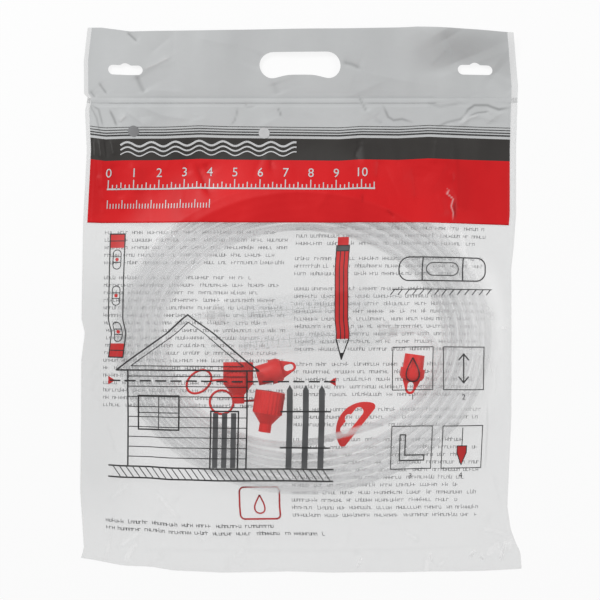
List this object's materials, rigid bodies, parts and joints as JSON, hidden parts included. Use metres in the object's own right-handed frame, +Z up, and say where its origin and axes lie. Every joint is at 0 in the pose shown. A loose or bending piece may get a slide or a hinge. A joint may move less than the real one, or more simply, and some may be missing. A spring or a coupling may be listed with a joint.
{
  "type": "water level",
  "caption": "Flat film bag with a hand hole, holding a water level: a coiled clear hose with two graduated flasks, red caps with neck rings, stoppers and a hose clip.",
  "frame": {"origin": "middle of the bag's outline, on the surface that its back film lies on", "axes": "+X to the right across the bag, +Y along the bag towards its header, +Z up out of the back film"},
  "size_m": [0.406, 0.512, 0.0299],
  "materials": {
    "film": "clear soft film, creased",
    "header_print": "grey printed film",
    "hose": "clear soft hose",
    "flask": "clear moulded plastic",
    "scale_marks": "printed graduations",
    "adapter": "white moulded plastic",
    "red_plastic": "red moulded plastic",
    "seal": "soft pale washer"
  },
  "bodies": {
    "bag": {"bag_back_film": "film", "bag_front_film": "film", "hose_coil": "hose", "hose_lead_1": "hose", "hose_lead_2": "hose", "flask_2_tube": "flask", "flask_2_scale": "scale_marks", "flask_2_adapter": "adapter"},
    "header": {"bag_header": "header_print"},
    "flask_1": {"flask_1_tube": "flask", "flask_1_scale": "scale_marks", "flask_1_adapter": "adapter"},
    "cap_1": {"cap_1": "red_plastic", "cap_1_seal": "seal"},
    "tether_1": {"tether_1": "red_plastic"},
    "cap_2": {"cap_2": "red_plastic", "cap_2_seal": "seal"},
    "tether_2": {"tether_2": "red_plastic"},
    "stopper_1": {"stopper_1": "red_plastic"},
    "stopper_2": {"stopper_2": "red_plastic"},
    "clip": {"hose_clip": "red_plastic"}
  },
  "joints": [
    {"name": "header_fold", "type": "hinge", "parent": "bag", "child": "header", "pos_m": [0, 0.19, 0.001], "axis": [1, 0, 0], "range_deg": [0, 150]},
    {"name": "flask_1_swing", "type": "hinge", "parent": "bag", "child": "flask_1", "pos_m": [-0.08495, -0.01422, 0.01455], "axis": [0, 0, 1], "range_deg": [0, 4]},
    {"name": "cap_1_slide", "type": "slide", "parent": "bag", "child": "cap_1", "axis": [0, -1, 0], "range_m": [0, 0.002]},
    {"name": "tether_1_lift", "type": "hinge", "parent": "cap_1", "child": "tether_1", "pos_m": [-0.0733, -0.07473, 0.0019], "axis": [-0.0879, 0.9961, 0], "range_deg": [0, 10]},
    {"name": "cap_2_slide", "type": "slide", "parent": "bag", "child": "cap_2", "axis": [1, 0, 0], "range_m": [0, 0.005]},
    {"name": "tether_2_swing", "type": "hinge", "parent": "cap_2", "child": "tether_2", "pos_m": [-0.04458, -0.09435, 0.0019], "axis": [0, 0, 1], "range_deg": [-4, 4]},
    {"name": "stopper_1_slide", "type": "slide", "parent": "bag", "child": "stopper_1", "axis": [1, 0, 0], "range_m": [0, 0.03]},
    {"name": "stopper_2_slide", "type": "slide", "parent": "bag", "child": "stopper_2", "axis": [-1, 0, 0], "range_m": [0, 0.015]},
    {"name": "clip_slide", "type": "slide", "parent": "bag", "child": "clip", "axis": [-0.7826, 0.6225, 0], "range_m": [0, 0.012]}
  ]
}
